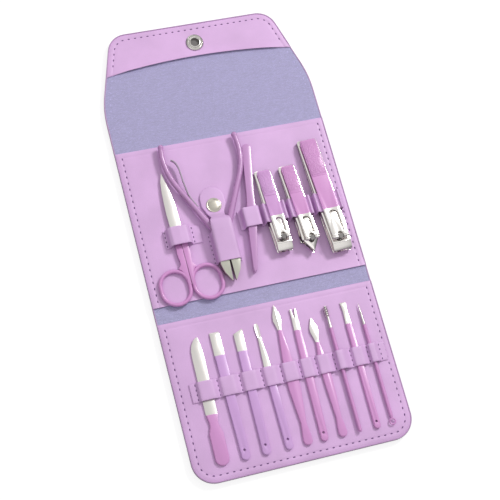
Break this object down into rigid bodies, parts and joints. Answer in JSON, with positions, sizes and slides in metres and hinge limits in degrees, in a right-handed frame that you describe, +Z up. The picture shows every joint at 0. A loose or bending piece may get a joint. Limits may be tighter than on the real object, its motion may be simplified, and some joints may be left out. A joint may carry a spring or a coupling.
{
  "type": "manicure set case",
  "caption": "Lilac manicure set lying open: clippers, scissors, nipper and tweezers in loops above, a row of small tools below, each tool free to slide out.",
  "frame": {"origin": "The origin is at the middle of the open case's outline, on the level of the outer press stud's tip on which it lies.", "axes": "+X runs across the case, to the right in the picture. +Y runs from the lower panel to the closing flap. +Z is up, out of the open case."},
  "size_m": [0.15, 0.3208, 0.0163],
  "materials": {
    "lilac_leather": "smooth lilac synthetic leather",
    "lavender_lining": "woven lavender lining",
    "board": "plain grey board",
    "bright_steel": "polished bright",
    "pink_paint": "smooth pink lacquer",
    "violet_paint": "smooth violet lacquer"
  },
  "bodies": {
    "case": {"upper_cover": "lilac_leather", "upper_board": "board", "upper_lining": "lavender_lining", "upper_overlay": "lilac_leather", "tool_strap": "lilac_leather", "scissors_loop": "lilac_leather", "holster_sleeve": "lilac_leather", "holster_stud": "bright_steel"},
    "spine": {"spine_cover": "lilac_leather", "spine_lining": "lavender_lining"},
    "lower_panel": {"lower_cover": "lilac_leather", "lower_board": "board", "lower_lining": "lavender_lining", "lower_overlay": "lilac_leather", "lower_strap": "lilac_leather", "lower_stud": "bright_steel"},
    "bridge": {"bridge_cover": "lilac_leather", "bridge_lining": "lavender_lining"},
    "flap": {"flap_cover": "lilac_leather", "flap_lining": "lavender_lining", "flap_band": "lilac_leather", "flap_socket": "bright_steel", "flap_cap": "bright_steel"},
    "tongue": {"holster_tongue": "lilac_leather", "holster_cap": "bright_steel"},
    "scissors": {"scissors_ring_right": "pink_paint", "scissors_screw": "bright_steel"},
    "scissors_left": {"scissors_ring_left": "pink_paint"},
    "nipper": {"nipper_right": "pink_paint", "nipper_rivet": "bright_steel"},
    "nipper_left": {"nipper_left": "pink_paint", "nipper_spring": "bright_steel"},
    "tweezers": {"tweezers_base": "pink_paint"},
    "tweezers_arm": {"tweezers_arm": "pink_paint"},
    "clipper_small": {"clipper_small_base": "bright_steel", "clipper_small_rivet": "bright_steel"},
    "clipper_small_leaf": {"clipper_small_leaf": "bright_steel"},
    "clipper_small_pin": {"clipper_small_pin": "bright_steel"},
    "clipper_small_lever": {"clipper_small_lever": "pink_paint"},
    "clipper_point": {"clipper_point_base": "bright_steel", "clipper_point_rivet": "bright_steel"},
    "clipper_point_leaf": {"clipper_point_leaf": "bright_steel"},
    "clipper_point_pin": {"clipper_point_pin": "bright_steel"},
    "clipper_point_lever": {"clipper_point_lever": "pink_paint"},
    "clipper_large": {"clipper_large_base": "bright_steel", "clipper_large_rivet": "bright_steel"},
    "clipper_large_leaf": {"clipper_large_leaf": "bright_steel"},
    "clipper_large_pin": {"clipper_large_pin": "bright_steel"},
    "clipper_large_lever": {"clipper_large_lever": "pink_paint"},
    "nail_file": {"nail_file": "pink_paint"},
    "straight_chisel": {"straight_chisel": "violet_paint"},
    "slanted_chisel": {"slanted_chisel": "violet_paint"},
    "long_scoop": {"long_scoop": "violet_paint"},
    "spear_pusher": {"spear_pusher": "pink_paint"},
    "cuticle_fork": {"cuticle_fork": "pink_paint"},
    "leaf_scraper": {"leaf_scraper": "pink_paint"},
    "ear_spiral": {"ear_spiral": "pink_paint"},
    "narrow_chisel": {"narrow_chisel": "pink_paint"},
    "needle": {"needle": "pink_paint"}
  },
  "joints": [
    {"name": "spine_fold", "type": "hinge", "parent": "case", "child": "spine", "pos_m": [0, -0.0404, 0.0077], "axis": [-1, 0, 0], "range_deg": [0, 90]},
    {"name": "lower_fold", "type": "hinge", "parent": "spine", "child": "lower_panel", "pos_m": [0, -0.0514, 0.0077], "axis": [-1, 0, 0], "range_deg": [0, 90]},
    {"name": "bridge_fold", "type": "hinge", "parent": "case", "child": "bridge", "pos_m": [0, 0.0751, 0.0077], "axis": [1, 0, 0], "range_deg": [0, 90]},
    {"name": "flap_fold", "type": "hinge", "parent": "bridge", "child": "flap", "pos_m": [0, 0.0909, 0.0077], "axis": [1, 0, 0], "range_deg": [0, 90]},
    {"name": "tongue_fold", "type": "hinge", "parent": "case", "child": "tongue", "pos_m": [-0.0175, 0.0021, 0.01558], "axis": [-1, 0, 0], "range_deg": [-120, 0]},
    {"name": "nipper_slide", "type": "slide", "parent": "case", "child": "nipper", "axis": [0, -0.9969, -0.0785], "range_m": [-0.038, 0]},
    {"name": "nipper_squeeze", "type": "hinge", "parent": "nipper", "child": "nipper_left", "pos_m": [-0.0175, -0.0039, 0.0093], "axis": [0, 0, 1], "range_deg": [-4, 0]},
    {"name": "scissors_slide", "type": "slide", "parent": "case", "child": "scissors", "axis": [-0.0105, 0.998, -0.0628], "range_m": [-0.057, 0]},
    {"name": "scissors_open", "type": "hinge", "parent": "scissors", "child": "scissors_left", "pos_m": [-0.0461, 0.0045, 0.0068], "axis": [0, 0, 1], "range_deg": [-20, 0]},
    {"name": "tweezers_slide", "type": "slide", "parent": "case", "child": "tweezers", "axis": [-0.1891, -0.982, 0], "range_m": [-0.049, 0]},
    {"name": "tweezers_squeeze", "type": "hinge", "parent": "tweezers", "child": "tweezers_arm", "pos_m": [0.01339, 0.0503, 0.0067], "axis": [-0.982, 0.1891, 0], "range_deg": [-1.4, 0], "stiffness_Nm_per_rad": 0.5},
    {"name": "clipper_small_slide", "type": "slide", "parent": "case", "child": "clipper_small", "axis": [-0.0122, 0.9965, -0.0824], "range_m": [-0.0405, 0]},
    {"name": "clipper_small_bite", "type": "hinge", "parent": "clipper_small", "child": "clipper_small_leaf", "pos_m": [0.02095, 0.0366, 0.0069], "axis": [-0.9999, -0.0122, 0], "range_deg": [-2.15, 0], "stiffness_Nm_per_rad": 1},
    {"name": "clipper_small_swivel", "type": "hinge", "parent": "clipper_small", "child": "clipper_small_pin", "pos_m": [0.02154, -0.012, 0.01477], "axis": [0, 0, 1], "range_deg": [-180, 0]},
    {"name": "clipper_small_tilt", "type": "hinge", "parent": "clipper_small_pin", "child": "clipper_small_lever", "pos_m": [0.02154, -0.012, 0.01477], "axis": [-0.9999, -0.0122, 0], "range_deg": [-160, 0]},
    {"name": "clipper_point_slide", "type": "slide", "parent": "case", "child": "clipper_point", "axis": [-0.0383, 0.9964, -0.0754], "range_m": [-0.0402, 0]},
    {"name": "clipper_point_bite", "type": "hinge", "parent": "clipper_point", "child": "clipper_point_leaf", "pos_m": [0.03838, 0.03678, 0.0069], "axis": [-0.9993, -0.0384, 0], "range_deg": [-1.98, 0], "stiffness_Nm_per_rad": 1},
    {"name": "clipper_point_swivel", "type": "hinge", "parent": "clipper_point", "child": "clipper_point_pin", "pos_m": [0.04044, -0.01678, 0.01478], "axis": [0, 0, 1], "range_deg": [-180, 0]},
    {"name": "clipper_point_tilt", "type": "hinge", "parent": "clipper_point_pin", "child": "clipper_point_lever", "pos_m": [0.04044, -0.01678, 0.01478], "axis": [-0.9993, -0.0384, 0], "range_deg": [-160, 0]},
    {"name": "clipper_large_slide", "type": "slide", "parent": "case", "child": "clipper_large", "axis": [-0.0331, 0.9977, -0.0595], "range_m": [-0.0565, 0]},
    {"name": "clipper_large_bite", "type": "hinge", "parent": "clipper_large", "child": "clipper_large_leaf", "pos_m": [0.0577, 0.05288, 0.0069], "axis": [-0.9995, -0.0332, 0], "range_deg": [-1.52, 0], "stiffness_Nm_per_rad": 1},
    {"name": "clipper_large_swivel", "type": "hinge", "parent": "clipper_large", "child": "clipper_large_pin", "pos_m": [0.06011, -0.01969, 0.015], "axis": [0, 0, 1], "range_deg": [-180, 0]},
    {"name": "clipper_large_tilt", "type": "hinge", "parent": "clipper_large_pin", "child": "clipper_large_lever", "pos_m": [0.06011, -0.01969, 0.015], "axis": [-0.9995, -0.0332, 0], "range_deg": [-160, 0]},
    {"name": "nail_file_slide", "type": "slide", "parent": "lower_panel", "child": "nail_file", "axis": [0.014, 0.9999, 0], "range_m": [-0.0444, 0]},
    {"name": "straight_chisel_slide", "type": "slide", "parent": "lower_panel", "child": "straight_chisel", "axis": [0, 1, 0], "range_m": [-0.0451, 0]},
    {"name": "slanted_chisel_slide", "type": "slide", "parent": "lower_panel", "child": "slanted_chisel", "axis": [0.0209, 0.9998, 0], "range_m": [-0.0438, 0]},
    {"name": "long_scoop_slide", "type": "slide", "parent": "lower_panel", "child": "long_scoop", "axis": [-0.007, 1, 0], "range_m": [-0.0449, 0]},
    {"name": "spear_pusher_slide", "type": "slide", "parent": "lower_panel", "child": "spear_pusher", "axis": [0.0175, 0.9998, 0], "range_m": [-0.0545, 0]},
    {"name": "cuticle_fork_slide", "type": "slide", "parent": "lower_panel", "child": "cuticle_fork", "axis": [0.0262, 0.9997, 0], "range_m": [-0.0495, 0]},
    {"name": "leaf_scraper_slide", "type": "slide", "parent": "lower_panel", "child": "leaf_scraper", "axis": [0, 1, 0], "range_m": [-0.0407, 0]},
    {"name": "ear_spiral_slide", "type": "slide", "parent": "lower_panel", "child": "ear_spiral", "axis": [0, 1, 0], "range_m": [-0.0458, 0]},
    {"name": "narrow_chisel_slide", "type": "slide", "parent": "lower_panel", "child": "narrow_chisel", "axis": [0.0087, 1, 0], "range_m": [-0.0466, 0]},
    {"name": "needle_slide", "type": "slide", "parent": "lower_panel", "child": "needle", "axis": [0, 1, 0], "range_m": [-0.0435, 0]}
  ],
  "couplings": [
    {"joint": "lower_fold", "follows": "spine_fold", "ratio": 1},
    {"joint": "flap_fold", "follows": "bridge_fold", "ratio": 1},
    {"joint": "tongue_fold", "follows": "nipper_slide", "rad_per_m": 55.116},
    {"joint": "clipper_small_swivel", "follows": "clipper_small_tilt", "ratio": 1.125},
    {"joint": "clipper_point_swivel", "follows": "clipper_point_tilt", "ratio": 1.125},
    {"joint": "clipper_large_swivel", "follows": "clipper_large_tilt", "ratio": 1.125}
  ]
}
